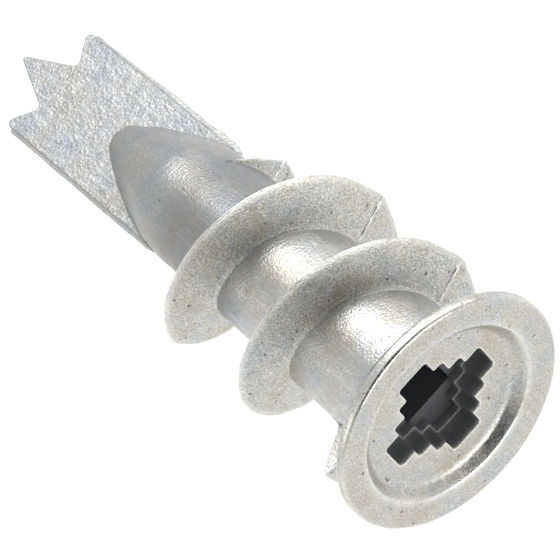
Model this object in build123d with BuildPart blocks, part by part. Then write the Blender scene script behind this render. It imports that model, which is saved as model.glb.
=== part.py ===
from build123d import *
from math import cos, radians, sin
import os

# Self-drilling wall anchor, die-cast in zinc alloy.  Millimetres.
#
# The anchor lies along Y as it sits in an upright wall: the wall's face is the plane Y = 0,
# the flange stands in front of it (Y < 0) and the drill point is deep in the wall (Y > 0).
# The drill blade lies flat in the XY plane, which is also where the two halves of the die meet.
# Thread angles are measured about Y, from +X (0 degrees) towards +Z (90 degrees).

# ---- Flange: the disc that stops on the board, with a dished face ----
flange_diameter = 14.1
flange_thickness = 0.75
flange_edge_round = 0.24
seat_inner_diameter = 12.1       # flat ring under the flange that rests on the board
neck_length = 2.0                # cone from the flat ring down to the barrel
neck_diameter = 8.1              # where the neck meets the barrel
neck_wall = 0.48                 # between the end of a recess arm and the outside of the neck
dish_diameter = 10.72
dish_floor_diameter = 9.5
dish_depth = 0.74
dish_edge_round = 0.3

# ---- Driver recess: a cross with stepped corners for a cross-head driver ----
arm_width = 1.94
step_reach = 2.5                 # the step beside each arm, which is as wide as the pocket below it
ledge = 0.15                     # every wall stands this much further in below the ledge
ledge_depth = 1.46               # from the dish floor down to the ledge

# ---- Bore that the screw cuts its thread in ----
bore_diameter = 3.1
bore_into_nose = 2.9             # the bore runs this far past the end of the barrel
bore_point = 0.8                 # conical end of the bore
pocket_clearance = 0.05          # the square lead-in stands this far outside the bore
pocket_length = 3.2

# ---- Barrel, nose and drill blade ----
barrel_length = 19.5             # from the neck to the root of the nose
barrel_end_diameter = 7.0
nose_length = 6.8
nose_tip_radius = 1.18           # ball at the end of the nose
nose_tip_angle = 29.0            # degrees, half angle of the nose where it meets the ball
blade_thickness = 1.1
blade_width = 7.1                # at the die line
blade_draft = 5.0                # degrees, on the edges of the blade
blade_length = 15.6              # from the root of the nose to the middle tooth's point
side_tooth_length = 2.5          # the side teeth's points stand this far behind the middle one
side_tooth_inset = 0.2
notch_length = 3.65              # the notches' roots stand this far behind the middle point
notch_offset = 1.62              # and this far from the axis
tooth_round = 0.12
notch_round = 0.22

# ---- Thread: half turns, one from each half of the die ----
thread_hand = -1                 # -1 left-hand, +1 right-hand
front_rise = 3.85                # length of a half turn on the +Z side
rear_rise = 2.75                 # length of a half turn on the -Z side
rear_ease = 1.4                  # the rear half turns leave the +X die line this gently
thread_end = 2.55                # distance from the wall's face to the last rim, on -X
turns_full = 2
rim_radius_head = 6.64           # of the full thread, beside the flange
rim_radius_tip = 6.28            # and at the end of the barrel
rim_width = 0.3
rim_bevel = 0.3                  # the rim falls away towards the tip
head_flank_slope = 0.32          # run along Y for each mm of height, on the flank that pulls
tip_flank_slope = 0.5            # and on the flank that leads
die_line_flash = 0.28            # the rim stands up by this much at the +X die line
start_radius = 4.9               # rim radius where the first half turn begins
start_angle = 42.0               # degrees of lead-in before it
start_rise = 1.0
start_growth = 1.5               # power by which the lead-in rises out of the barrel
foot_depth = 0.4                 # the flights' sections start this far inside the barrel's end
sections_per_half_turn = 9
lead_in_sections = 5

tolerance = 1e-4                 # two places closer than this are the same place

# ---- Places along Y that follow from the sizes above ----
head_face = -flange_thickness
dish_floor = head_face + dish_depth
ledge_level = dish_floor + ledge_depth
barrel_start = neck_length
barrel_end = barrel_start + barrel_length
bore_end = barrel_end + bore_into_nose
nose_end = barrel_end + nose_length
blade_end = barrel_end + blade_length

flange_radius = flange_diameter / 2
neck_radius = neck_diameter / 2
arm_reach = neck_radius - neck_wall    # from the axis to the end of a recess arm
barrel_end_radius = barrel_end_diameter / 2
bore_radius = bore_diameter / 2
pocket_width = bore_diameter + 2 * pocket_clearance
step_width = pocket_width        # in line with the pocket, so that its core draws out through the recess
blade_half = blade_width / 2

os.makedirs("parts", exist_ok=True)


def finish(piece, name):
    """Label a finished piece and write it to its own file."""
    piece.part.label = name
    export_step(piece.part, f"parts/{name}.step")


# ---- Outlines that several pieces share, as half sections beside the Y axis ----

# The hole down the middle: round bore with a conical end.
with BuildSketch(Plane.XY) as bore_section:
    with BuildLine():
        Polyline(
            (0, barrel_start),
            (bore_radius, barrel_start),
            (bore_radius, bore_end),
            (0, bore_end + bore_point),
            close=True,
        )
    make_face()

# The nose: an ogive that runs smoothly into a ball.
tip_centre = (0, nose_end - nose_tip_radius)
with BuildSketch(Plane.XY) as nose_section:
    with BuildLine():
        ball = CenterArc(tip_centre, nose_tip_radius, nose_tip_angle, 90 - nose_tip_angle)
        ogive = TangentArc(ball @ 0, (barrel_end_radius, barrel_end), tangent=-(ball % 0))
        Polyline(ball @ 1, (0, barrel_end), ogive @ 1)
    make_face()

# The outside of the flange, neck and barrel, which the thread stands on.
with BuildPart() as thread_core:
    with BuildSketch(Plane.XY):
        with BuildLine():
            Polyline(
                (0, head_face),
                (flange_radius, head_face),
                (flange_radius, 0),
                (seat_inner_diameter / 2, 0),
                (neck_radius, barrel_start),
                (barrel_end_radius, barrel_end),
                (0, barrel_end),
                close=True,
            )
        make_face()
    revolve(axis=Axis.Y)


# ---- Flange with its neck, dish and driver recess ----
with BuildPart() as head_flange:
    with BuildSketch(Plane.XY) as flange_section:
        with BuildLine():
            Polyline(
                (0, dish_floor),
                (dish_floor_diameter / 2, dish_floor),
                (dish_diameter / 2, head_face),
                (flange_radius, head_face),
                (flange_radius, 0),
                (seat_inner_diameter / 2, 0),
                (neck_radius, barrel_start),
                (0, barrel_start),
                close=True,
            )
        make_face()
        corners = flange_section.vertices()
        fillet(corners.filter_by(lambda v: abs(v.X - flange_radius) < tolerance), flange_edge_round)
        fillet(corners.filter_by(lambda v: abs(v.X - dish_floor_diameter / 2) < tolerance), dish_edge_round)
        fillet(corners.filter_by(lambda v: abs(v.X - dish_diameter / 2) < tolerance), dish_edge_round)
    revolve(axis=Axis.Y)
    with BuildSketch(Plane.XZ.offset(-dish_floor)):
        for turn in (0, 90):
            with Locations(Location((0, 0), turn)):
                Rectangle(2 * arm_reach, arm_width)
                Rectangle(2 * step_reach, step_width)
    extrude(amount=-ledge_depth, mode=Mode.SUBTRACT)
    with BuildSketch(Plane.XZ.offset(-ledge_level)):
        for turn in (0, 90):
            with Locations(Location((0, 0), turn)):
                Rectangle(2 * (arm_reach - ledge), arm_width - 2 * ledge)
                Rectangle(2 * (step_reach - ledge), step_width - 2 * ledge)
        Rectangle(pocket_width, pocket_width)
    extrude(amount=ledge_level - barrel_start, mode=Mode.SUBTRACT)
finish(head_flange, "head_flange")


# ---- Barrel: tapered sleeve, with a square lead-in to the screw's bore ----
with BuildPart() as barrel:
    with BuildSketch(Plane.XY):
        with BuildLine():
            Polyline(
                (0, barrel_start),
                (neck_radius, barrel_start),
                (barrel_end_radius, barrel_end),
                (0, barrel_end),
                close=True,
            )
        make_face()
    revolve(axis=Axis.Y)
    revolve(bore_section.sketch, axis=Axis.Y, mode=Mode.SUBTRACT)
    with BuildSketch(Plane.XZ.offset(-barrel_start)):
        Rectangle(pocket_width, pocket_width)
    extrude(amount=-pocket_length, mode=Mode.SUBTRACT)
finish(barrel, "barrel")


# ---- Nose: one half on each face of the drill blade ----
for name, side, keep in (("nose_front", 1, Keep.TOP), ("nose_rear", -1, Keep.BOTTOM)):
    with BuildPart() as nose_half:
        revolve(nose_section.sketch, axis=Axis.Y)
        split(bisect_by=Plane.XY.offset(side * blade_thickness / 2), keep=keep)
        revolve(bore_section.sketch, axis=Axis.Y, mode=Mode.SUBTRACT)
    finish(nose_half, name)


# ---- Drill blade with a point and two cutting corners ----
with BuildPart() as drill_blade:
    with BuildSketch(Plane.XY) as blade_outline:
        with BuildLine():
            edge = Polyline(
                (0, barrel_end),
                (blade_half, barrel_end),
                (blade_half, blade_end - side_tooth_length - side_tooth_inset),
                (blade_half - side_tooth_inset, blade_end - side_tooth_length),
                (notch_offset, blade_end - notch_length),
                (0, blade_end),
            )
            mirror(edge, about=Plane.YZ)
        make_face()
        outline = blade_outline.vertices()
        fillet(outline.filter_by(lambda v: abs(abs(v.X) - notch_offset) < tolerance), notch_round)
        fillet(outline.sort_by(Axis.Y)[-1], tooth_round)
    extrude(amount=blade_thickness / 2, taper=blade_draft, both=True)
    revolve(bore_section.sketch, axis=Axis.Y, mode=Mode.SUBTRACT)
finish(drill_blade, "drill_blade")


# ---- Thread ----

def full_rim(depth):
    """Rim radius of the full thread at a distance from the wall's face."""
    share = (depth - thread_end) / (barrel_end - thread_end)
    return rim_radius_head + share * (rim_radius_tip - rim_radius_head)


def build_flight(name, stations):
    """Loft one run of thread through its (angle, rim radius, depth of the rim) stations."""
    foot = barrel_end_radius - foot_depth
    with BuildPart() as flight:
        for angle, rim, depth in stations:
            turned = radians(-thread_hand * angle)
            outward = (cos(turned), 0, sin(turned))
            radial = Plane(origin=(0, 0, 0), x_dir=outward, z_dir=(-sin(turned), 0, cos(turned)))
            crest = rim - rim_bevel
            with BuildSketch(radial):
                with BuildLine():
                    Polyline(
                        (foot, depth - head_flank_slope * (rim - foot)),
                        (rim, depth),
                        (crest, depth + rim_width),
                        (foot, depth + rim_width + tip_flank_slope * (crest - foot)),
                        close=True,
                    )
                make_face()
        loft()
        add(thread_core.part, mode=Mode.SUBTRACT)
    finish(flight, name)


def half_turn(first_angle, first_depth, rise, ease=1.0, first_rim=None):
    """Stations of a half turn that climbs towards the flange from its first angle and depth."""
    stations = []
    for step in range(sections_per_half_turn):
        share = step / (sections_per_half_turn - 1)
        angle = first_angle - 180 * share
        depth = first_depth - rise * share**ease
        rim = full_rim(depth)
        if first_rim is not None:
            rim = first_rim + share * (full_rim(first_depth - rise) - first_rim)
        elif angle == 0:
            rim += die_line_flash
        stations.append((angle, rim, depth))
    return stations


pitch = front_rise + rear_rise
depth_start = thread_end + turns_full * pitch + rear_rise

# The lead-in grows out of the barrel on the front side and ends at the die line on +X.
lead_in = []
for step in range(lead_in_sections):
    share = step / (lead_in_sections - 1)
    rim = barrel_end_radius + share**start_growth * (start_radius - barrel_end_radius)
    lead_in.append((start_angle * (1 - share), rim, depth_start + start_rise * (1 - share)))
build_flight("thread_lead_in", lead_in)

# The first half turn, on the rear side, grows to the full height.
build_flight("thread_rear_1", half_turn(0, depth_start, rear_rise, rear_ease, start_radius))

for turn in range(1, turns_full + 1):
    depth_minus_x = depth_start - rear_rise - (turn - 1) * pitch
    build_flight(f"thread_front_{turn}", half_turn(180, depth_minus_x, front_rise))
    build_flight(f"thread_rear_{turn + 1}", half_turn(0, depth_minus_x - front_rise, rear_rise, rear_ease))
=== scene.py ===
import logging
from dataclasses import dataclass, field
from enum import Enum
from math import asin, atan2, cos, exp, log1p, pi, radians, sin, sqrt, tan
from typing import Mapping, Sequence

import bmesh
import bpy
from mathutils import Matrix, Vector, geometry, noise


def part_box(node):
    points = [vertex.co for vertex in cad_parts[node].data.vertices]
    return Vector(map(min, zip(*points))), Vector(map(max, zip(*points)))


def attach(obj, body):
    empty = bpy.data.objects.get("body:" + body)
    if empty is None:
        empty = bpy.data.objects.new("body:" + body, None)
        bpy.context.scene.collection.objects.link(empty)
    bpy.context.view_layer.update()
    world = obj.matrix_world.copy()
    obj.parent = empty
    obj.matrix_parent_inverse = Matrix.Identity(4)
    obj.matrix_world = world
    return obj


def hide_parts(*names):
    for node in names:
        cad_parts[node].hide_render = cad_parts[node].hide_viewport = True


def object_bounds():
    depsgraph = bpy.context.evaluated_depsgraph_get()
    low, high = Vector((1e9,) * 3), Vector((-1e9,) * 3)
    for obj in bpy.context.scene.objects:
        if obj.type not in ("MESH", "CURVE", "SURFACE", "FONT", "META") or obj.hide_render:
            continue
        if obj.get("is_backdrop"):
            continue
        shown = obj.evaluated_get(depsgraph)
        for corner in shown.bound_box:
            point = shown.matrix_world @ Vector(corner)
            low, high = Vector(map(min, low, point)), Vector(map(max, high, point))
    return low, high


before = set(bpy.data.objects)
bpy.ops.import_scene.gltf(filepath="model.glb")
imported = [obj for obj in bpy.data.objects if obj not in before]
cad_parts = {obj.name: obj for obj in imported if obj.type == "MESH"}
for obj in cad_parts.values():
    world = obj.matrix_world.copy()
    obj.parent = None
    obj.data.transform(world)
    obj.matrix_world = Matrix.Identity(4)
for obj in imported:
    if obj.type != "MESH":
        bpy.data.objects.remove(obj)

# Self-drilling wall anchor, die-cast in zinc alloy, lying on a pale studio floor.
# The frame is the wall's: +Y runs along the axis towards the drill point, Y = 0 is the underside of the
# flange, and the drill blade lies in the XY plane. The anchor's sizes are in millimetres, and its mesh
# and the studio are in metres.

MM = 0.001
SHARP_DEGREES = 42  # faces that meet at a steeper angle than this keep a hard edge
CORNER_SHARE = 0.45  # a corner's rounding takes at most this share of each of its sides
THREAD_END = 2.55  # distance from the wall's face at which the thread ends, next to the flange
BODY = "root"
Outline = list[tuple[float, float]]
log = logging.getLogger("wall_anchor")


class Slot(Enum):
    """The record's material slots."""

    FLANGE = "zinc_flange"
    BARREL = "zinc_barrel"
    THREAD = "zinc_thread"
    BLADE = "zinc_blade"


class Side(Enum):
    """Which half of the die made a piece: +1 is the side of +Z."""

    FRONT = 1
    REAR = -1


# ---------------------------------------------------------------- small tools


def linear(code: str, alpha: float = 1.0) -> tuple[float, float, float, float]:
    """Turn an sRGB hex colour into linear light.

    Args:
        code: Six hex digits after a hash sign.
        alpha: Opacity to carry along.

    Returns:
        Red, green, blue and alpha.
    """
    values = [int(code[i : i + 2], 16) / 255 for i in (1, 3, 5)]
    lit = [v / 12.92 if v <= 0.04045 else ((v + 0.055) / 1.055) ** 2.4 for v in values]
    return (*lit, alpha)


def add_node(
    tree: bpy.types.NodeTree,
    kind: str,
    inputs: Mapping[int | str, object] | None = None,
    stops: Sequence[tuple[float, tuple[float, ...]]] = (),
    **settings: object,
) -> bpy.types.Node:
    """Add a node with its settings and links.

    Args:
        tree: Node tree to add to.
        kind: Blender's type name of the node.
        inputs: Value or linked output for each input, by name or number.
        stops: Positions and colours of a colour ramp.
        **settings: Attributes of the node.

    Returns:
        The new node.
    """
    node = tree.nodes.new(kind)
    for name, value in settings.items():
        setattr(node, name, value)
    for socket, value in (inputs or {}).items():
        if isinstance(value, bpy.types.NodeSocket):
            tree.links.new(value, node.inputs[socket])
        else:
            node.inputs[socket].default_value = value
    if stops:
        elements = node.color_ramp.elements
        while len(elements) < len(stops):
            elements.new(0.5)
        for element, (position, colour) in zip(elements, stops):
            element.position = position
            element.color = colour
    return node


def smooth(value: float, low: float, high: float) -> float:
    """Rise smoothly from 0 at low to 1 at high."""
    share = min(max((value - low) / (high - low), 0.0), 1.0)
    return share * share * (3 - 2 * share)


def arc_reach(back: Vector, ahead: Vector, radius: float) -> tuple[float, float]:
    """Work out where the rounding of a corner starts.

    Args:
        back: From the corner to the one before.
        ahead: From the corner to the next.
        radius: Radius wanted.

    Returns:
        The start's distance from the corner, and half the angle between the two sides.
    """
    half = back.angle(ahead) / 2
    return min(radius / tan(half), CORNER_SHARE * back.length, CORNER_SHARE * ahead.length), half


def rounded(
    corners: Sequence[tuple[float, float, float]],
    runs: Sequence[int],
    arc_steps: int = 4,
    closed: bool = True,
) -> Outline:
    """Draw an outline through corners, each rounded by its own radius.

    Args:
        corners: Two coordinates and a radius for each corner; radius 0 keeps it sharp.
        runs: Number of steps along the straight after each corner.
        arc_steps: Steps along each rounding.
        closed: Whether the last corner joins the first.

    Returns:
        The outline's points in order.
    """
    count = len(corners)
    points: Outline = []
    for i, (x, y, radius) in enumerate(corners):
        here = Vector((x, y))
        before = Vector(corners[i - 1][:2])
        after = Vector(corners[(i + 1) % count][:2])
        leave = here
        if radius and (closed or 0 < i < count - 1):
            back, ahead = before - here, after - here
            reach, half = arc_reach(back, ahead, radius)
            start, leave = here + back.normalized() * reach, here + ahead.normalized() * reach
            centre = here + (back.normalized() + ahead.normalized()).normalized() * (reach / cos(half))
            swing = (pi - 2 * half) * (1 if (-back).cross(ahead) > 0 else -1)
            for step in range(arc_steps + 1):
                spoke = Matrix.Rotation(swing * step / arc_steps, 2) @ (start - centre)
                points.append((centre.x + spoke.x, centre.y + spoke.y))
        else:
            points.append((x, y))
        if not closed and i == count - 1:
            break
        next_radius = corners[(i + 1) % count][2]
        if next_radius and (closed or i + 1 < count - 1):
            beyond = Vector(corners[(i + 2) % count][:2])
            back = here - after
            reach, _ = arc_reach(back, beyond - after, next_radius)
            after = after + back.normalized() * reach
        for step in range(1, runs[i]):
            point = leave.lerp(after, step / runs[i])
            points.append((point.x, point.y))
    return points


def inset(outline: Outline, distance: float) -> Outline:
    """Move each point of a counter-clockwise outline inwards along its own normal.

    Args:
        outline: The outline.
        distance: How far to move it; outwards where negative.

    Returns:
        The moved points, in the same order.
    """
    moved: Outline = []
    for i, (x, y) in enumerate(outline):
        bx, by = outline[i - 1]
        ax, ay = outline[(i + 1) % len(outline)]
        along = Vector((ax - bx, ay - by)).normalized()
        moved.append((x - along.y * distance, y + along.x * distance))
    return moved


def evenly(count: int) -> list[float]:
    """Turns in radians that divide a full circle."""
    return [2 * pi * k / count for k in range(count)]


def around(y: float, turns: Sequence[float], radii: float | Sequence[float]) -> list[Vector]:
    """Place a loop of points round the anchor's axis.

    Args:
        y: Distance from the wall's face.
        turns: Turn of each point in radians.
        radii: One radius, or one for each turn.

    Returns:
        The loop's points.
    """
    if isinstance(radii, float):
        radii = [radii] * len(turns)
    return [Vector((r * cos(t), y, r * sin(t))) for r, t in zip(radii, turns)]


@dataclass
class Skin:
    """A closed mesh of loops that all have the same number of points, in millimetres.

    The first and last loop are capped, or joined to each other when ring is set.
    """

    name: str
    ring: bool = False
    skin_mm: float = 0.012  # height of the cast skin's unevenness
    broad_mm: float = 1.2  # width of its broad swells
    fine_mm: float = 0.35  # width of its fine ones, which are half as high
    loops: list[list[Vector]] = field(default_factory=list)
    wear: list[list[float]] = field(default_factory=list)
    shade: list[list[float]] = field(default_factory=list)

    def add(
        self,
        points: Sequence[Vector],
        wear: float | Sequence[float] = 0.0,
        shade: float | Sequence[float] = 0.0,
    ) -> None:
        """Add a loop.

        Args:
            points: Its points.
            wear: How much the metal is lightened, from 0 to 1, for the loop or each point: rubbed edges,
                and on some edges painted glints.
            shade: How much of the dark tone is mixed in, from 0 to 1, for the loop or each point: painted
                shade in hollows and along the blade's edge, and a darker nose end.
        """
        count = len(points)
        self.loops.append(list(points))
        for table, value in ((self.wear, wear), (self.shade, shade)):
            table.append([value] * count if isinstance(value, (int, float)) else list(value))

    def build(self) -> bpy.types.Object:
        """Make the mesh, give it the slight unevenness of a cast skin, and shade it smooth.

        Returns:
            The new object, linked to the scene.
        """
        bm = bmesh.new()
        rows = [[bm.verts.new(p * MM) for p in loop] for loop in self.loops]
        count = len(rows[0])
        pairs = list(zip(rows, rows[1:])) + ([(rows[-1], rows[0])] if self.ring else [])
        for low, high in pairs:
            for j in range(count):
                k = (j + 1) % count
                bm.faces.new((low[j], low[k], high[k], high[j])).smooth = True
        if not self.ring:
            for row in (rows[0], rows[-1]):
                self.cap(bm, row)
        bmesh.ops.recalc_face_normals(bm, faces=bm.faces)
        bm.normal_update()
        moves = [v.normal * self.unevenness(v.co / MM) * MM for v in bm.verts]
        for vertex, move in zip(bm.verts, moves):
            vertex.co += move
        mesh = bpy.data.meshes.new(self.name)
        bm.to_mesh(mesh)
        bm.free()
        mesh.set_sharp_from_angle(angle=radians(SHARP_DEGREES))
        for label, table in (("wear", self.wear), ("shade", self.shade)):
            layer = mesh.attributes.new(label, "FLOAT", "POINT")
            layer.data.foreach_set("value", [v for row in table for v in row])
        piece = bpy.data.objects.new(self.name, mesh)
        bpy.context.scene.collection.objects.link(piece)
        return piece

    def cap(self, bm: bmesh.types.BMesh, row: list[bmesh.types.BMVert]) -> None:
        """Close a loop with triangles that keep to its inside, however notched it is.

        Args:
            bm: The mesh.
            row: The loop's points.
        """
        middle = sum((v.co for v in row), Vector()) / len(row)
        across = (row[0].co - middle).normalized()
        facing = max(((v.co - middle).cross(across) for v in row), key=lambda n: n.length).normalized()
        along = facing.cross(across)
        flat = [Vector(((v.co - middle).dot(across), (v.co - middle).dot(along))) / MM for v in row]
        border, inside_only, tolerance = list(range(len(row))), 1, 1e-7
        _, _, faces, origins, _, _ = geometry.delaunay_2d_cdt(flat, [], [border], inside_only, tolerance)
        for face in faces:
            corners = [row[origins[k][0]] for k in face if origins[k]]
            if len(set(corners)) == 3:
                bm.faces.new(corners)

    def unevenness(self, place: Vector) -> float:
        """Work out the height of the cast skin at a place.

        Args:
            place: The place, in millimetres.

        Returns:
            The height, in millimetres.
        """
        broad = noise.noise(place / self.broad_mm)
        fine = noise.noise(place / self.fine_mm + Vector((9.0, 4.0, 2.0)))
        return self.skin_mm * (broad + 0.5 * fine)


def settle(piece: bpy.types.Object, slot: Slot, finish: "CastZinc", *nodes: str) -> None:
    """Give a piece its finish and its place in the frame.

    Args:
        piece: The piece.
        slot: The record's material slot for the piece; not used.
        finish: What its metal looks like.
        *nodes: CAD nodes that it stands for.
    """
    piece.data.materials.append(finish.material())
    if nodes:
        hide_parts(*nodes)
    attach(piece, BODY)
    log.info("%s: %d points, %s", piece.name, len(piece.data.vertices), finish.name)


# ---------------------------------------------------------------- finishes


@dataclass(frozen=True)
class CastZinc:
    """Zinc alloy, pressure die-cast and left as it came from the die and the tumbling barrel.

    To the eye it is a soft warm-and-cool grey with a fine sandy tooth, a few dark pits where gas was
    trapped, and edges that tumbling has rubbed bright.
    """

    name: str
    base: str = "#C9C7C0"
    cool: str = "#B4B8BC"
    warm: str = "#BDB8AB"
    # the tone of scratches and of the wear attribute, which is partly rubbed edges and partly painted
    # glints
    bright: str = "#F1F1EC"
    # the dark tone that the shade attribute mixes in: painted shade in hollows and along the blade's edge,
    # and a darker nose end
    darkening: str = "#7E8083"
    pit: str = "#6E6C66"
    blotch_mm: float = 2.6  # clouds of cooler and warmer oxide
    streak: float = 0.16  # how much lighter and darker the streaks are
    streak_turn: tuple[float, float, float] = (0.2, 0.1, -0.62)
    streaks_per_mm: tuple[float, float, float] = (9.0, 1.3, 9.0)  # 0.1 mm wide and 0.8 mm long
    streak_height: float = 0.008
    grain_mm: float = 0.11  # the real tooth is about half as coarse, and is drawn coarser to show
    grain_contrast: float = 0.3
    grain_height: float = 0.012
    ripple_mm: float = 0.6  # flow marks of the melt
    ripple_height: float = 0.012
    pit_spacing_mm: float = 0.27
    pit_size: float = 0.3
    pit_depth: float = 0.03
    ragged_per_mm: float = 6.0  # what makes the pits' outlines ragged
    facet_mm: float = 0.2  # crystals at the skin, drawn coarser than they are to show
    facet_height: float = 0.0
    scratch: float = 0.3
    scratch_depth: float = 0.004
    scratch_turn: tuple[float, float, float] = (0.5, 0.3, 0.7)
    scratches_per_mm: tuple[float, float, float] = (5.0, 0.28, 5.0)  # 0.2 mm apart, 3.6 mm long
    smooth_roughness: float = 0.34
    rough_roughness: float = 0.56
    wear_gloss: float = -0.18  # rubbed metal is smoother
    pit_gloss: float = 0.2  # and a pit rougher
    darkening_veil: float = -0.8  # how much less metallic the shade attribute makes the surface

    def material(self) -> bpy.types.Material:
        """Make this finish's material, or hand back the one already made.

        Returns:
            The material.
        """
        if self.name in bpy.data.materials:
            return bpy.data.materials[self.name]
        made = bpy.data.materials.new(self.name)
        made.use_nodes = True
        tree = made.node_tree
        tree.nodes.clear()
        place = add_node(tree, "ShaderNodeTexCoord").outputs["Object"]
        # The patterns below are drawn in millimetres.
        place = add_node(
            tree, "ShaderNodeVectorMath", {0: place, "Scale": 1 / MM}, operation="SCALE"
        ).outputs[0]
        blotch, grain, ripple = (
            add_node(
                tree,
                "ShaderNodeTexNoise",
                {"Vector": place, "Scale": 1 / size, "Detail": detail, "Roughness": fineness},
            ).outputs["Fac"]
            for size, detail, fineness in (
                (self.blotch_mm, 3.0, 0.6),
                (self.grain_mm, 2.0, 0.7),
                (self.ripple_mm, 3.0, 0.55),
            )
        )
        along = add_node(
            tree,
            "ShaderNodeMapping",
            {"Vector": place, "Rotation": self.streak_turn, "Scale": self.streaks_per_mm},
        ).outputs[0]
        streaks = add_node(
            tree, "ShaderNodeTexNoise", {"Vector": along, "Scale": 1.0, "Detail": 3.0, "Roughness": 0.65}
        ).outputs["Fac"]
        facets = add_node(
            tree, "ShaderNodeTexVoronoi", {"Vector": place, "Scale": 1 / self.facet_mm}
        ).outputs["Distance"]
        pits = self.pits(tree, place, ripple)
        lines = self.scratches(tree, place)
        wear = self.rubbed_and_glints(tree, ripple)
        shade = add_node(
            tree, "ShaderNodeAttribute", attribute_name="shade", attribute_type="GEOMETRY"
        ).outputs["Fac"]

        # Colour: clouds of oxide, then grain and streaks, then pits, scratches, the shade attribute's
        # painted shade and darkening, and the wear attribute's rubbed edges and painted glints.
        tone = add_node(
            tree,
            "ShaderNodeValToRGB",
            {0: blotch},
            stops=((0.36, linear(self.cool)), (0.5, linear(self.base)), (0.66, linear(self.warm))),
        ).outputs["Color"]
        for pattern, darkest, lightest in (
            (grain, 1 - self.grain_contrast, 1 + 0.5 * self.grain_contrast),
            (streaks, 1 - self.streak, 1 + self.streak),
        ):
            factor = add_node(
                tree, "ShaderNodeMapRange", {0: pattern, 1: 0.3, 2: 0.7, 3: darkest, 4: lightest}
            ).outputs[0]
            tone = add_node(
                tree, "ShaderNodeMix", {0: 1.0, 6: tone, 7: factor}, data_type="RGBA", blend_type="MULTIPLY"
            ).outputs[2]
        for amount, colour in (
            (pits, self.pit),
            (lines, self.bright),
            (shade, self.darkening),
            (wear, self.bright),
        ):
            tone = add_node(
                tree, "ShaderNodeMix", {0: amount, 6: tone, 7: linear(colour)}, data_type="RGBA"
            ).outputs[2]

        # Gloss: satin on the ripples' low parts and duller on the high ones.
        gloss = add_node(
            tree,
            "ShaderNodeMapRange",
            {0: ripple, 1: 0.3, 2: 0.7, 3: self.smooth_roughness, 4: self.rough_roughness},
        ).outputs[0]
        for pattern, amount in ((wear, self.wear_gloss), (pits, self.pit_gloss)):
            gloss = add_node(
                tree, "ShaderNodeMath", {0: pattern, 1: amount, 2: gloss}, operation="MULTIPLY_ADD"
            ).outputs[0]

        # Relief: one height in millimetres that every pattern adds to.
        height = add_node(
            tree, "ShaderNodeMath", {0: grain, 1: self.grain_height}, operation="MULTIPLY"
        ).outputs[0]
        for pattern, amount in (
            (ripple, self.ripple_height),
            (streaks, self.streak_height),
            (pits, -self.pit_depth),
            (facets, self.facet_height),
            (lines, -self.scratch_depth),
        ):
            height = add_node(
                tree, "ShaderNodeMath", {0: pattern, 1: amount, 2: height}, operation="MULTIPLY_ADD"
            ).outputs[0]
        normal = add_node(
            tree, "ShaderNodeBump", {"Strength": 1.0, "Distance": MM, "Height": height}
        ).outputs[0]
        bare = add_node(
            tree, "ShaderNodeMath", {0: shade, 1: self.darkening_veil, 2: 1.0}, operation="MULTIPLY_ADD"
        ).outputs[0]
        shader = add_node(
            tree,
            "ShaderNodeBsdfPrincipled",
            {"Base Color": tone, "Metallic": bare, "Roughness": gloss, "Normal": normal},
        )
        add_node(tree, "ShaderNodeOutputMaterial", {0: shader.outputs[0]})
        return made

    def pits(
        self, tree: bpy.types.NodeTree, place: bpy.types.NodeSocket, cluster: bpy.types.NodeSocket
    ) -> bpy.types.NodeSocket:
        """Draw gas pits, most of them in clusters.

        Args:
            tree: The material's nodes.
            place: Position in millimetres.
            cluster: Slow pattern that the pits gather in.

        Returns:
            How much of a point is pit, from 0 to 1.
        """
        ragged = add_node(
            tree, "ShaderNodeTexNoise", {"Vector": place, "Scale": self.ragged_per_mm, "Detail": 2.0}
        ).outputs["Color"]
        bent = add_node(
            tree, "ShaderNodeMix", {0: 0.16, 4: place, 5: ragged}, data_type="VECTOR"
        ).outputs[1]
        cells = add_node(
            tree, "ShaderNodeTexVoronoi", {"Vector": bent, "Scale": 1 / self.pit_spacing_mm}
        )
        lot = add_node(tree, "ShaderNodeSeparateColor", {0: cells.outputs["Color"]}).outputs[0]
        odds = add_node(
            tree, "ShaderNodeMath", {0: cluster, 1: 0.9, 2: lot}, operation="MULTIPLY_ADD"
        ).outputs[0]
        size = add_node(
            tree, "ShaderNodeMapRange", {0: odds, 1: 1.22, 2: 1.5, 3: -0.1, 4: self.pit_size}
        ).outputs[0]
        inside = add_node(
            tree, "ShaderNodeMath", {0: size, 1: cells.outputs["Distance"]}, operation="SUBTRACT"
        ).outputs[0]
        return add_node(
            tree, "ShaderNodeMapRange", {0: inside, 1: 0.0, 2: 0.14, 3: 0.0, 4: 0.75}
        ).outputs[0]

    def scratches(self, tree: bpy.types.NodeTree, place: bpy.types.NodeSocket) -> bpy.types.NodeSocket:
        """Draw the fine lines that parts rubbing together leave.

        Args:
            tree: The material's nodes.
            place: Position in millimetres.

        Returns:
            How much of a point is scratch, from 0 to 1.
        """
        along = add_node(
            tree,
            "ShaderNodeMapping",
            {"Vector": place, "Rotation": self.scratch_turn, "Scale": self.scratches_per_mm},
        ).outputs[0]
        streak = add_node(
            tree, "ShaderNodeTexNoise", {"Vector": along, "Scale": 1.0, "Detail": 1.0}
        ).outputs["Fac"]
        return add_node(
            tree, "ShaderNodeMapRange", {0: streak, 1: 0.66, 2: 0.72, 3: 0.0, 4: self.scratch}
        ).outputs[0]

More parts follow.
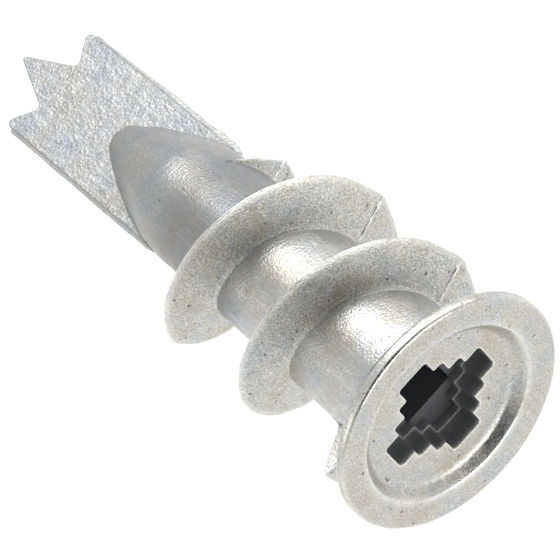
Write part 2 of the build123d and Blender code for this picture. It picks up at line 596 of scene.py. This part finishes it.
    def rubbed_and_glints(self, tree: bpy.types.NodeTree, ripple: bpy.types.NodeSocket) -> bpy.types.NodeSocket:
        """Break up the bright wear and painted glints along the edges.

        Args:
            tree: The material's nodes.
            ripple: Pattern that interrupts it.

        Returns:
            How much a point is lightened by wear and painted glints, from 0 to 1.
        """
        edge = add_node(
            tree, "ShaderNodeAttribute", attribute_name="wear", attribute_type="GEOMETRY"
        ).outputs["Fac"]
        broken = add_node(
            tree, "ShaderNodeMapRange", {0: ripple, 1: 0.35, 2: 0.55, 3: 0.5, 4: 1.0}
        ).outputs[0]
        return add_node(tree, "ShaderNodeMath", {0: edge, 1: broken}, operation="MULTIPLY").outputs[0]


# The flange is the warmest and glossiest region: satin, clouded, with pits that stand out on its flat face.
FLANGE_ZINC = CastZinc(
    "zinc_die_cast_flange",
    base="#C6C4BC",
    cool="#BEC0C0",
    warm="#C1BBAF",
    darkening="#6E7175",
    ripple_height=0.01,
    streak=0.2,
    smooth_roughness=0.26,
    rough_roughness=0.4,
    pit_size=0.4,
)
# The barrel and nose are smooth and cooler, with a faint orange peel that breaks up the reflections.
BARREL_ZINC = CastZinc(
    "zinc_die_cast_barrel",
    base="#C6C6C3",
    cool="#BCC0C4",
    warm="#C2BDB4",
    darkening="#505357",
    streak_height=0.005,
    streak=0.12,
    blotch_mm=2.9,
    facet_mm=0.13,
    facet_height=0.012,
    smooth_roughness=0.32,
    rough_roughness=0.48,
    grain_contrast=0.22,
)
# The flights are sandy, so they scatter the light and look matt beside the barrel; their base is paler than
# the barrel's as painted light, standing in for light that their faces lack.
THREAD_ZINC = CastZinc(
    "zinc_die_cast_thread",
    base="#D0CFCA",
    cool="#C6C9CA",
    warm="#CBC6BB",
    grain_mm=0.085,
    grain_contrast=0.5,
    grain_height=0.014,
    facet_mm=0.12,
    facet_height=0.011,
    streak=0.26,
    pit_size=0.36,
)
# The blade has a coarse, frosted skin that glitters in small facets, cooler than the rest.
BLADE_ZINC = CastZinc(
    "zinc_die_cast_blade",
    base="#BCBEBF",
    cool="#B2B6BC",
    warm="#BAB8B3",
    grain_mm=0.1,
    grain_contrast=0.34,
    facet_height=0.034,
    smooth_roughness=0.5,
    rough_roughness=0.68,
)


# ---------------------------------------------------------------- the anchor


@dataclass(frozen=True)
class Sleeve:
    """Outside of the barrel and nose: a cone that eases into an ogive, which runs into a ball."""

    neck_radius: float = 4.05
    end_radius: float = 3.5
    start: float = 2.0
    end: float = 21.5
    nose_length: float = 6.8
    ball: float = 1.18
    ball_angle: float = 29.0
    ease: float = 0.07  # how far the cone and the ogive are rounded into each other
    ogive_back: float = 6.0  # the ogive is worked out this far back from its start and no further

    def cone(self, y: float) -> float:
        """Radius of the cone at a distance from the wall's face."""
        share = (y - self.start) / (self.end - self.start)
        return self.neck_radius + share * (self.end_radius - self.neck_radius)

    def ball_place(self) -> tuple[float, float]:
        """Where the ball's centre lies along the axis, and the turn at which the ogive meets it."""
        return self.end + self.nose_length - self.ball, radians(self.ball_angle)

    def ogive(self, y: float) -> float:
        """Work out the radius of the arc from the barrel's end to the ball, which it meets smoothly.

        Args:
            y: Distance from the wall's face.

        Returns:
            The radius there.
        """
        centre, lean = self.ball_place()
        join = Vector((self.ball * cos(lean), centre + self.ball * sin(lean)))
        inward = Vector((-cos(lean), -sin(lean)))
        chord = Vector((self.end_radius, self.end)) - join
        bend = chord.length_squared / (2 * chord.dot(inward))
        hub = join + inward * bend
        return hub.x + sqrt(bend**2 - (y - hub.y) ** 2)

    def radius(self, y: float) -> float:
        """Outer radius at a distance from the wall's face, short of the ball."""
        cone, ogive = self.cone(y), self.ogive(max(y, self.end - self.ogive_back))
        return min(cone, ogive) - self.ease * log1p(exp(-abs(cone - ogive) / self.ease))


@dataclass
class Flange:
    """Flange with rounded rim, dished face, conical neck and stepped cross recess."""

    edge_round: float = 0.24
    seat_radius: float = 6.05
    seat_round: float = 0.2
    neck_radius: float = 4.05
    dish_radius: float = 5.36
    dish_floor_radius: float = 4.75
    dish_depth: float = 0.74
    dish_round: float = 0.3
    dish_foot_round: float = 0.62
    dish_flat: float = 0.85  # width of the ring of flat floor outside the recess's loops
    arm_reach: float = 3.57
    arm_half: float = 1.0
    arm_round: float = 0.22
    step_reach: float = 2.5
    step_half: float = 1.64
    step_round: float = 0.2
    notch_round: float = 0.14
    mouth_round: float = 0.09
    ledge: float = 0.15
    ledge_depth: float = 1.46
    lean: float = 0.16  # the rim stands out by this much more on one side
    lean_turn: float = -1.05  # the turn, in radians, at which it does so most
    lean_start: float = 5.5  # radius from which it starts to do so
    lean_full: float = 7.0
    waver: float = 0.02  # how far the outline wavers in and out
    wear_share: float = 0.5  # how bright the edges are rubbed
    wear_spread: float = 0.03  # how far the rubbing spreads, as a squared distance

    def recess(self, deeper: float) -> Outline:
        """Draw the outline of the stepped cross.

        Args:
            deeper: How far it is brought in on every side.

        Returns:
            Its points, counter-clockwise.
        """
        a, b = self.arm_reach - deeper, self.arm_half - deeper
        c, d = self.step_reach - deeper, self.step_half - deeper
        arm, step, notch = self.arm_round, self.step_round, self.notch_round
        quarter = [
            (a, b, arm),
            (c, b, notch),
            (c, d, step),
            (d, d, notch),
            (d, c, step),
            (b, c, notch),
            (b, a, arm),
        ]
        corners = list(quarter)
        for _ in range(3):
            corners += [(-z, x, r) for x, z, r in corners[-len(quarter) :]]
        runs = (4,) * (len(quarter) - 1) + (14,)
        return rounded(corners, runs * 4)

    def walls(self, floor: float, end: float) -> tuple[tuple[float, float, float, float], ...]:
        """List the loops of the recess's wall, from its bottom to its mouth.

        Args:
            floor: The dish's floor, as a distance from the wall's face.
            end: The neck's end.

        Returns:
            Distance from the wall's face, how far the cross is brought in, wear and painted shade, for each
            loop; the wear on the mouth and ledge is partly rubbing and partly painted glints.
        """
        ledge = floor + self.ledge_depth
        # The recess is darkened by painted shade, and its mouth and ledge carry painted glints on top of
        # wear.
        return (
            (end, self.ledge + 0.02, 0.0, 1.0),
            (ledge + 0.06, self.ledge, 0.0, 1.0),
            (ledge, self.ledge - 0.03, 0.3, 1.0),
            (ledge - 0.01, 0.06, 0.1, 1.0),
            (ledge - 0.06, 0.03, 0.0, 1.0),
            ((ledge + floor) / 2, 0.02, 0.0, 0.95),
            (floor + 0.3, 0.01, 0.0, 0.85),
            (floor + 0.09, 0.0, 0.2, 0.6),
            (floor + 0.02, -0.03, 0.9, 0.0),
            (floor, -self.mouth_round, 0.3, 0.0),
        )

    def build(self) -> bpy.types.Object:
        """Make the flange's mesh from the bottom of the recess out over the rim to the neck.

        Returns:
            The new object.
        """
        low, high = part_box("head_flange")
        face, end = low.y / MM, high.y / MM
        radius = (high.x - low.x) / MM / 2
        floor = face + self.dish_depth
        skin = Skin("flange_with_recess", ring=True, skin_mm=0.016)
        for depth, deeper, wear, shade in self.walls(floor, end):
            skin.add([Vector((x, depth, z)) for x, z in self.recess(deeper)], wear, shade)
        turns = [atan2(z, x) for x, z in self.recess(0.0)]
        mouth = [Vector((x, floor, z)) for x, z in self.recess(-self.mouth_round)]
        profile = rounded(
            (
                (self.dish_floor_radius - self.dish_flat, floor, 0),
                (self.dish_floor_radius, floor, self.dish_foot_round),
                (self.dish_radius, face, self.dish_round),
                (radius, face, self.edge_round),
                (radius, 0.0, self.edge_round),
                (self.seat_radius, 0.0, self.seat_round),
                (self.neck_radius, end, 0),
            ),
            (2, 2, 5, 2, 3, 8, 1),
            arc_steps=6,
            closed=False,
        )
        # Two loops on the dish's floor turn the cross into a circle.
        circle = around(floor, turns, profile[0][0])
        for share in (0.3, 0.65):
            skin.add([a.lerp(b, share) for a, b in zip(mouth, circle)])
        edges = ((self.dish_radius, face), (radius, face + 0.1), (radius, -0.08))
        for r, y in profile:
            wear = max(exp(-((r - ex) ** 2 + (y - ey) ** 2) / self.wear_spread) for ex, ey in edges)
            grow = self.lean * smooth(r, self.lean_start, self.lean_full)
            radii = [
                r
                + grow * cos(t - self.lean_turn)
                + self.waver * noise.noise(Vector((cos(t) * 2, sin(t) * 2, r)))
                for t in turns
            ]
            skin.add(around(y, turns, radii), self.wear_share * wear)
        return skin.build()


@dataclass
class Barrel:
    """Tapered sleeve with the seams the die left, and the screw's bore inside."""

    sleeve: Sleeve = Sleeve()
    bore_radius: float = 1.55
    # painted shade inside the bore and the square lead-in
    bore_painted_shade: float = 0.8
    pocket_half: float = 1.6
    pocket_length: float = 3.2
    pocket_painted_shade: float = 0.9
    end_face: float = 0.25  # how far inside its rim the end under the neck takes full painted shade
    seam: float = 0.04
    seam_turn: float = 0.035  # half the seam's width, in radians
    dull: float = 0.55  # darker and less metallic on the end that meets the nose
    dull_from: float = 11.0
    dull_full: float = 17.0
    lift: float = 0.48  # share of that darkening that is gone again at the nose
    lift_from: float = 18.5
    lift_full: float = 21.5
    columns: int = 184
    rows: int = 90

    def seam_height(self, y: float, turn: float) -> float:
        """Height of the ragged seam, on the two sides where the die's halves met."""
        ragged = 0.6 + 0.6 * noise.noise(Vector((y * 0.9, 3.0, 1.0)))
        return self.seam * ragged * exp(-((sin(turn) / self.seam_turn) ** 2))

    def darkening(self, y: float) -> float:
        """Darkening on the outside at a distance from the wall's face."""
        lift = self.lift * smooth(y, self.lift_from, self.lift_full)
        return self.dull * smooth(y, self.dull_from, self.dull_full) * (1 - lift)

    def build(self) -> bpy.types.Object:
        """Make the sleeve's mesh: outside, end face, bore and square lead-in.

        Returns:
            The new object.
        """
        low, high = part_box("barrel")
        start, end = low.y / MM, high.y / MM
        turns = evenly(self.columns)
        skin = Skin("barrel_sleeve", ring=True, skin_mm=0.014)
        for i in range(self.rows + 1):
            y = start + (end - start) * i / self.rows
            seam = [self.seam_height(y, t) for t in turns]
            radii = [self.sleeve.radius(y) + height for height in seam]
            skin.add(around(y, turns, radii), [8 * height for height in seam], self.darkening(y))
        square = [self.pocket_half / max(abs(cos(t)), abs(sin(t))) for t in turns]
        pocket_end = start + self.pocket_length
        # The bore, the lead-in and the end face under the neck are darkened with painted shade.
        for y, radii, darkening in (
            (end, self.bore_radius, self.bore_painted_shade),
            (pocket_end, self.bore_radius, self.bore_painted_shade),
            (pocket_end, square, self.pocket_painted_shade),
            (start, square, self.pocket_painted_shade),
            (start, self.sleeve.neck_radius - self.end_face, 1.0),
        ):
            skin.add(around(y, turns, radii), 0.0, darkening)
        return skin.build()


@dataclass
class NoseHalf:
    """One half of the nose: an ogive that runs into a ball, lying on a face of the blade."""

    side: Side
    sleeve: Sleeve = Sleeve()
    half_blade: float = 0.55
    fillet: float = 0.16
    dull: float = 0.32
    sunk_in_barrel: float = 0.1
    sunk_in_blade: float = 0.15
    rows: int = 44
    ball_rows: int = 12
    arc_steps: int = 48

    def rims(self) -> Outline:
        """List the stations along the nose.

        Returns:
            Distance from the wall's face, and radius, for each station.
        """
        centre, lean = self.sleeve.ball_place()
        ball, start = self.sleeve.ball, self.sleeve.end
        join = centre + ball * sin(lean)
        stations: Outline = []
        for i in range(self.rows):
            y = start + (join - start) * i / self.rows
            stations.append((y, self.sleeve.radius(y)))
        # The last station is where the ball has all but sunk into the blade.
        last = pi / 2 - asin((self.half_blade + 0.03) / ball)
        for i in range(self.ball_rows + 1):
            turn = lean + (last - lean) * i / self.ball_rows
            stations.append((centre + ball * sin(turn), ball * cos(turn)))
        return stations

    def section(self, radius: float) -> list[Vector]:
        """Draw a half section: a round back, a concave fillet at each foot and a base in the blade.

        Args:
            radius: The nose's radius there.

        Returns:
            Its points, across and away from the blade's middle.
        """
        level = self.half_blade
        wide = sqrt(max(radius**2 - level**2, 1e-6))
        rise = min(self.fillet, 0.5 * (radius - level))
        top = asin(min((level + rise) / radius, 1.0))
        foot = Vector((wide + rise * 0.9, level - 0.01))
        lift = Vector((radius * cos(top), radius * sin(top)))
        corner = Vector((wide, level))
        side = [
            foot * (1 - t) ** 2 + corner * 2 * t * (1 - t) + lift * t**2 for t in (0.0, 0.25, 0.5, 0.75)
        ]
        swing = pi - 2 * top
        arc = [
            Vector((radius * cos(a), radius * sin(a)))
            for a in (top + swing * k / self.arc_steps for k in range(self.arc_steps + 1))
        ]
        other = [Vector((-p.x, p.y)) for p in reversed(side)]
        deep = level - self.sunk_in_blade
        return side + arc + other + [Vector((-wide * 0.9, deep)), Vector((wide * 0.9, deep))]

    def build(self) -> bpy.types.Object:
        """Make the half's mesh, sunk a little into the blade and the barrel.

        Returns:
            The new object.
        """
        node = f"nose_{self.side.name.lower()}"
        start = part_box(node)[0].y / MM
        skin = Skin(node + "_skin", skin_mm=0.014)
        sign = self.side.value
        for y, radius in [(start - self.sunk_in_barrel, self.sleeve.radius(start)), *self.rims()]:
            skin.add([Vector((p.x, y, sign * p.y)) for p in self.section(radius)], 0.0, self.dull)
        return skin.build()


@dataclass
class DrillBlade:
    """Flat blade with a middle point, two side teeth and the flash of the die's parting line."""

    half_width: float = 3.5
    half_thickness: float = 0.55
    notch_offset: float = 1.58
    notch_length: float = 3.5
    notch_round: float = 0.28
    side_tooth_length: float = 2.45
    draft: float = 0.05
    edge: float = 0.08
    tip_round: float = 0.19
    tip_gap: float = 0.02  # the point keeps this far back from the CAD box
    sunk: float = 0.2  # how far the blade reaches into the barrel
    flash_tip: float = 34.0  # where the +X side's flash starts to grow towards the nose
    flash_nose: float = 22.0  # where it is full

    def outline(self, start: float, end: float) -> Outline:
        """Draw the blade's edge, counter-clockwise seen from +Z.

        Args:
            start: The blade's root, as a distance from the wall's face.
            end: Its point.

        Returns:
            The edge's points.
        """
        w, side = self.half_width, end - self.side_tooth_length
        notch, gap = end - self.notch_length, self.notch_offset
        half_angle = atan2(gap, self.notch_length)
        # Rounding takes the middle point back, so its sharp corner starts further out.
        tip = end + self.tip_round * (1 / sin(half_angle) - 1)
        right = [
            (w, start, 0),
            (w, side - 0.25, 0.2),
            (w - 0.2, side + 0.03, 0.16),
            (w - 0.45, side, 0.12),
            (gap, notch, self.notch_round),
        ]
        left = [(-x, y, r) for x, y, r in reversed(right)]
        corners = [left[-1], *right, (0.0, tip, self.tip_round), *left[:-1]]
        edge_runs = (60, 2, 2, 12, 18)
        return rounded(corners, (12, *edge_runs, *reversed(edge_runs)))

    def flash(self, x: float, y: float) -> float:
        """Work out how far the flash stands out from the edge.

        Args:
            x: Place across the blade, whose sign picks the side.
            y: Distance from the wall's face.

        Returns:
            How far it stands out.
        """
        ragged = noise.noise(Vector((y * 0.8, 2.0, x))) + 0.5 * noise.noise(Vector((y * 3.1, 5.0, x)))
        if x > 0:
            growth = smooth(-y, -self.flash_tip, -self.flash_nose)
            return max(0.14 + 0.16 * growth + 0.07 * ragged, 0.02)
        return max(0.11 + 0.03 * ragged, 0.0)

    def build(self) -> bpy.types.Object:
        """Make the blade's mesh from its back face, round the edge, to its front face.

        Returns:
            The new object.
        """
        low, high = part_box("drill_blade")
        outline = self.outline(low.y / MM - self.sunk, high.y / MM - self.tip_gap)
        h, e = self.half_thickness, self.edge
        # How far in from the edge, height above the blade's middle and painted shade, which darkens the
        # edge's rounding, for each loop.
        levels = (
            (e + 0.03, h, 0.0),
            (e, h, 0.1),
            (0.35 * e, h - 0.25 * e, 0.6),
            (0.0, h - e, 0.1),
            (-0.6 * self.draft, 0.2, 0.0),
        )
        skin = Skin("drill_blade_skin", skin_mm=0.012)
        for inward, z, painted_edge_shade in levels:
            skin.add([Vector((x, y, -z)) for x, y in inset(outline, inward)], 0.0, painted_edge_shade)
        # The flash's tip carries painted shade as a thin dark line, and its lips a little rubbed
        # brightness.
        for z, reach, painted_edge_shade in ((-0.07, 0.5, 0.0), (-0.025, 1.0, 0.7), (0.025, 1.0, 0.7), (0.07, 0.5, 0.0)):
            lips = []
            for i, (x, y) in enumerate(outline):
                on_side = abs(x) > self.half_width - 0.03
                grow = self.draft + (reach * self.flash(x, y) if on_side else 0.0)
                lips.append(inset([outline[i - 1], (x, y), outline[(i + 1) % len(outline)]], -grow)[1])
            skin.add([Vector((x, y, z)) for x, y in lips], 0.3, painted_edge_shade)
        for inward, z, painted_edge_shade in reversed(levels):
            skin.add([Vector((x, y, z)) for x, y in inset(outline, inward)], 0.0, painted_edge_shade)
        return skin.build()


@dataclass
class ThreadRun:
    """One run of the thread between die lines, with its hollow flanks and rubbed rim."""

    node: str
    first_angle: float
    sweep: float
    first_depth: float
    rise: float
    ease: float = 1.0
    first_rim: float | None = None
    growth: float = 1.0
    last_rim: float | None = None
    end_trim: float = 0.0
    trim_from: float = 0.84  # share of the run at which the trim starts
    step: float = 2.5  # degrees between sections
    least_sections: int = 16
    thread_length: float = 18.95  # from where the thread ends to the barrel's end
    rim_head: float = 6.62
    rim_tip: float = 6.48
    edge_round: float = 0.08
    rim_width: float = 0.3
    bevel: float = 0.34
    bevel_round: float = 0.4
    head_slope: float = 0.3
    tip_slope: float = 0.5
    root_round: float = 0.42  # radius of the root's rounding, and its share of a low thread's height
    sunk: float = 0.35  # how far the root reaches into the barrel
    least_height: float = 0.04
    burr: float = 0.16
    burr_degrees: float = 7.0
    overlap: float = 0.8  # degrees that a run reaches past its die line
    ragged: float = 0.035
    waver: float = 0.03
    wear_spread: float = 0.012  # how far the rubbing spreads from the rim, as a squared distance

    def full_rim(self, depth: float) -> float:
        """Rim radius of the full thread at a distance from the wall's face."""
        return self.rim_head + (depth - THREAD_END) / self.thread_length * (self.rim_tip - self.rim_head)

    def station(self, share: float) -> tuple[float, float, float]:
        """Work out where the rim is at a share of the run.

        Args:
            share: From 0 at the run's first die line to 1 at its last.

        Returns:
            Angle in degrees, rim radius and the rim's distance from the wall's face.
        """
        angle = self.first_angle - self.sweep * share
        depth = self.first_depth - self.rise * share**self.ease
        if self.first_rim is not None:
            last = self.last_rim
            if last is None:
                last = self.full_rim(self.first_depth - self.rise)
            rim = self.first_rim + share**self.growth * (last - self.first_rim)
        else:
            rim = self.full_rim(depth) + self.burr * exp(-((angle / self.burr_degrees) ** 2))
        rim -= self.end_trim * smooth(share, self.trim_from, 1.0)
        return angle, rim, depth

    def section(self, rim: float, depth: float) -> tuple[Outline, list[float]]:
        """Draw a section of the run.

        Args:
            rim: The rim's radius.
            depth: The rim's distance from the wall's face.

        Returns:
            Radius and distance for each point, and the wear at each.
        """
        core = Sleeve().cone(max(depth, Sleeve.start))
        tall = max(rim - core, self.least_height)
        fillet = min(self.root_round, self.root_round * tall)
        head_root = depth - self.head_slope * tall
        wide = self.rim_width * min(tall, 1.0)
        bevel = min(self.bevel, 0.4 * tall)
        tip_root = depth + wide + self.tip_slope * (tall - bevel)
        corners = (
            (core - self.sunk, head_root - fillet, 0),
            (core - 0.02, head_root - 1.3 * fillet, 0),
            (core, head_root, fillet),
            (core + tall + self.edge_round * 0.8, depth, self.edge_round),
            (core + tall - bevel, depth + wide, self.bevel_round),
            (core, tip_root, 1.3 * fillet),
            (core - 0.02, tip_root + 1.6 * fillet, 0),
            (core - self.sunk, tip_root + fillet, 0),
        )
        outline = rounded(corners, (1, 2, 7, 3, 6, 2, 1, 1))
        wear = [exp(-((r - rim) ** 2 + (y - depth) ** 2) / self.wear_spread) for r, y in outline]
        return outline, wear

    def build(self) -> bpy.types.Object:
        """Make the run's mesh from section to section.

        Returns:
            The new object.
        """
        skin = Skin(self.node + "_skin", skin_mm=0.022)
        count = max(int(self.sweep / self.step), self.least_sections)
        # The sections before the first and after the last carry the run a little past its die lines.
        for i in range(-1, count + 2):
            angle, rim, depth = self.station(min(max(i / count, 0.0), 1.0))
            past = self.overlap if i < 0 else -self.overlap if i > count else 0.0
            turn = radians(angle + past)
            spot = Vector((cos(turn) * 4, depth, sin(turn) * 4))
            rim += self.ragged * (noise.noise(spot) + 0.6 * noise.noise(spot * 3))
            depth += self.waver * noise.noise(spot * 0.7 + Vector((5.0, 0.0, 0.0)))
            outline, wear = self.section(rim, depth)
            skin.add([Vector((r * cos(turn), y, r * sin(turn))) for r, y in outline], wear)
        return skin.build()


@dataclass
class DieFlash:
    """Ragged ridge of flash where the two halves of the die met across a thread flank."""

    name: str
    depth: float
    rim: float
    slope: float = 0.3
    thick: float = 0.07
    sunk: float = 0.15  # how far the ridge's inner end reaches into the barrel
    stations: int = 26
    sides: int = 10

    def build(self) -> bpy.types.Object:
        """Make the ridge's mesh from the barrel out to the rim.

        Returns:
            The new object.
        """
        skin = Skin(self.name, skin_mm=0.02)
        core = Sleeve().cone(self.depth)
        for i in range(self.stations + 1):
            share = i / self.stations
            r = core - self.sunk + share * (self.rim - core + 0.1)
            spot = Vector((r * 2.4, self.depth, 7.0))
            # The ridge thickens outwards, unevenly, and thins again just before the rim.
            ragged = 0.75 + 0.9 * noise.noise(spot) + 0.5 * share
            thick = self.thick * ragged * (1 - 0.7 * smooth(share, 0.93, 1.0))
            y = self.depth - self.slope * (self.rim - r) + 0.04 * noise.noise(spot * 1.7)
            z = 0.07 * noise.noise(spot * 0.9 + Vector((3.0, 1.0, 0.0)))
            # Its wear of 0.9 is partly rubbing and partly a painted highlight along the ridge.
            skin.add([Vector((r, y + thick * cos(t), z + thick * sin(t))) for t in evenly(self.sides)], 0.9)
        return skin.build()


@dataclass
class WallAnchor:
    """The whole anchor: one casting, shown as its named regions."""

    pitch: float = 6.6
    front_rise: float = 3.85
    rear_rise: float = 2.75
    rear_ease: float = 1.4

    def runs(self) -> list[ThreadRun]:
        """List the runs of thread, from the lead-in to the flange.

        Returns:
            The runs, each one where the last ended.
        """
        start = THREAD_END + 2 * self.pitch + self.rear_rise
        made = [
            ThreadRun(
                "thread_lead_in",
                first_angle=42,
                sweep=42,
                first_depth=start + 1.0,
                rise=1.0,
                first_rim=3.56,
                growth=1.5,
                last_rim=4.85,
                ragged=0.12,
            ),
            ThreadRun(
                "thread_rear_1",
                first_angle=0,
                sweep=180,
                first_depth=start,
                rise=self.rear_rise,
                ease=self.rear_ease,
                first_rim=4.9,
                growth=2.5,
            ),
        ]
        for turn in (1, 2):
            depth = start - self.rear_rise - (turn - 1) * self.pitch
            made.append(
                ThreadRun(
                    f"thread_front_{turn}",
                    first_angle=180,
                    sweep=180,
                    first_depth=depth,
                    rise=self.front_rise,
                )
            )
            made.append(
                ThreadRun(
                    f"thread_rear_{turn + 1}",
                    first_angle=0,
                    sweep=180,
                    first_depth=depth - self.front_rise,
                    rise=self.rear_rise,
                    ease=self.rear_ease,
                    end_trim=0.05 if turn == 2 else 0.0,
                )
            )
        return made

    def build(self) -> None:
        """Build and settle every region."""
        settle(Flange().build(), Slot.FLANGE, FLANGE_ZINC, "head_flange")
        settle(Barrel().build(), Slot.BARREL, BARREL_ZINC, "barrel")
        for side in Side:
            settle(NoseHalf(side).build(), Slot.BARREL, BARREL_ZINC, f"nose_{side.name.lower()}")
        settle(DrillBlade().build(), Slot.BLADE, BLADE_ZINC, "drill_blade")
        for run in self.runs():
            settle(run.build(), Slot.THREAD, THREAD_ZINC, run.node)
            if run.first_angle == 0:
                _, rim, depth = run.station(0.0)
                settle(DieFlash(run.node + "_flash", depth, rim).build(), Slot.THREAD, THREAD_ZINC)


# ---------------------------------------------------------------- the studio


@dataclass
class SoftBox:
    """A large soft light that faces the anchor, with its sizes in metres."""

    name: str
    toward: tuple[float, float, float]
    distance: float
    width: float
    height: float
    watts: float

    def build(self, centre: Vector) -> None:
        """Place the light around the anchor's centre.

        Args:
            centre: The anchor's centre, in metres.
        """
        data = bpy.data.lights.new(self.name, "AREA")
        data.shape = "RECTANGLE"
        data.size, data.size_y, data.energy = self.width, self.height, self.watts
        lamp = bpy.data.objects.new(self.name, data)
        away = Vector(self.toward).normalized()
        lamp.location = centre + away * self.distance
        lamp.rotation_euler = away.to_track_quat("Z", "Y").to_euler()
        bpy.context.scene.collection.objects.link(lamp)


@dataclass
class Studio:
    """Pale floor, soft light and the camera.

    Angles are in degrees, the lens and sensor in millimetres, and other sizes in metres unless named mm.
    """

    azimuth: float = -4.58
    elevation: float = 52.2
    roll: float = -44.2
    camera_mm: tuple[float, float, float] = (-11.69, -129.08, 184.09)
    lens: float = 281.4
    sensor: float = 36.0
    clip: tuple[float, float] = (0.01, 10.0)
    floor_radius: float = 0.8
    floor_sides: int = 96
    floor_gap: float = 0.0001  # between the floor and the thread that rests on it
    floor_light: float = 1.15
    floor_middle: float = 0.016  # where along the anchor's axis the floor's light is centred
    floor_fade_mm: tuple[float, float] = (50.0, 130.0)
    far_light: float = 0.72
    room: tuple[tuple[float, str], ...] = (
        (0.0, "#DCDCDB"),
        (0.25, "#E4E4E3"),
        (0.7, "#E2E2E1"),
        (1.0, "#ECECEC"),
    )
    dark_room: str = "#151515"
    dark_toward: tuple[float, float, float] = (-0.12, -0.65, 0.72)
    dark_span: tuple[float, float] = (0.66, 0.9)  # cosines at which the dark begins and is full
    boxes: tuple[SoftBox, ...] = (
        SoftBox("key_softbox", (0.3, 0.38, 0.82), 0.14, 0.07, 0.045, 0.095),
        SoftBox("side_softbox", (-0.9, 0.35, 0.4), 0.35, 0.16, 0.16, 0.1),
        SoftBox("right_softbox", (0.8, 0.22, 0.5), 0.24, 0.14, 0.14, 0.16),
        SoftBox("head_softbox", (0.1, -0.97, 0.2), 0.35, 0.3, 0.14, 0.5),
    )

    def floor(self, level: float) -> None:
        """Lay a white floor that glows like a light table and falls off to grey far away.

        Args:
            level: The floor's height.
        """
        mesh = bpy.data.meshes.new("studio_floor")
        radius = self.floor_radius
        ring = [(radius * cos(t), radius * sin(t), level) for t in evenly(self.floor_sides)]
        mesh.from_pydata(ring, [], [tuple(range(self.floor_sides))])
        piece = bpy.data.objects.new("studio_floor", mesh)
        bpy.context.scene.collection.objects.link(piece)
        piece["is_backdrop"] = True
        made = bpy.data.materials.new("lit_opal_acrylic")
        made.use_nodes = True
        tree = made.node_tree
        tree.nodes.clear()
        place = add_node(tree, "ShaderNodeTexCoord").outputs["Object"]
        middle = add_node(
            tree,
            "ShaderNodeVectorMath",
            {0: place, 1: (0.0, self.floor_middle, level)},
            operation="DISTANCE",
        ).outputs["Value"]
        near, far = (edge * MM for edge in self.floor_fade_mm)
        light = add_node(
            tree,
            "ShaderNodeMapRange",
            {0: middle, 1: near, 2: far, 3: self.floor_light, 4: self.far_light},
            interpolation_type="SMOOTHSTEP",
        ).outputs[0]
        glow = add_node(
            tree, "ShaderNodeEmission", {"Color": (1.0, 1.0, 1.0, 1.0), "Strength": light}
        ).outputs[0]
        add_node(tree, "ShaderNodeOutputMaterial", {0: glow})
        piece.data.materials.append(made)

    def sky(self) -> None:
        """Surround the anchor with the room: pale all round, and dark high up over the head."""
        world = bpy.data.worlds.new("studio_room")
        bpy.context.scene.world = world
        world.use_nodes = True
        tree = world.node_tree
        tree.nodes.clear()
        toward = add_node(tree, "ShaderNodeTexCoord").outputs["Generated"]
        upward = add_node(tree, "ShaderNodeSeparateXYZ", {0: toward}).outputs["Z"]
        tone = add_node(
            tree,
            "ShaderNodeValToRGB",
            {0: upward},
            stops=[(height, linear(colour)) for height, colour in self.room],
        ).outputs["Color"]
        facing = add_node(
            tree,
            "ShaderNodeVectorMath",
            {0: toward, 1: Vector(self.dark_toward).normalized()},
            operation="DOT_PRODUCT",
        ).outputs["Value"]
        begins, full = self.dark_span
        lobe = add_node(
            tree,
            "ShaderNodeMapRange",
            {0: facing, 1: begins, 2: full, 3: 0.0, 4: 1.0},
            interpolation_type="SMOOTHSTEP",
        ).outputs[0]
        tone = add_node(
            tree, "ShaderNodeMix", {0: lobe, 6: tone, 7: linear(self.dark_room)}, data_type="RGBA"
        ).outputs[2]
        room = add_node(tree, "ShaderNodeBackground", {"Color": tone, "Strength": 1.0}).outputs[0]
        add_node(tree, "ShaderNodeOutputWorld", {0: room})

    def camera(self) -> None:
        """Set up the camera from its three angles and its place."""
        turn, lift, lean = (radians(a) for a in (self.azimuth, self.elevation, self.roll))
        back = Vector((sin(turn) * cos(lift), -cos(turn) * cos(lift), sin(lift)))
        level = Vector((cos(turn), sin(turn), 0.0))
        right = level * cos(lean) + back.cross(level) * sin(lean)
        up = back.cross(right)
        data = bpy.data.cameras.new("camera")
        data.lens, data.sensor_width = self.lens, self.sensor
        data.clip_start, data.clip_end = self.clip
        eye = bpy.data.objects.new("camera", data)
        place = Matrix.Identity(4)
        for column, axis in enumerate((right, up, back)):
            for row in range(3):
                place[row][column] = axis[row]
        place.translation = Vector(self.camera_mm) * MM
        eye.matrix_world = place
        bpy.context.scene.collection.objects.link(eye)
        bpy.context.scene.camera = eye

    def build(self, box: tuple[Vector, Vector]) -> None:
        """Build the studio around the anchor.

        Args:
            box: Lowest and highest corners of the anchor's box, in metres.
        """
        low, high = box
        centre = (low + high) / 2
        self.floor(low.z - self.floor_gap)
        self.sky()
        for soft in self.boxes:
            soft.build(centre)
        self.camera()
        bpy.context.scene.view_settings.view_transform = "Standard"
        log.info("studio built around a centre at %s", tuple(round(c, 4) for c in centre))


def main() -> None:
    """Build the anchor, then the studio around the CAD model's box."""
    logging.basicConfig(level=logging.INFO, format="%(name)s: %(message)s")
    cad = [Vector(corner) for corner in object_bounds()]
    WallAnchor().build()
    Studio().build((cad[0], cad[1]))


if __name__ == "__main__":
    main()
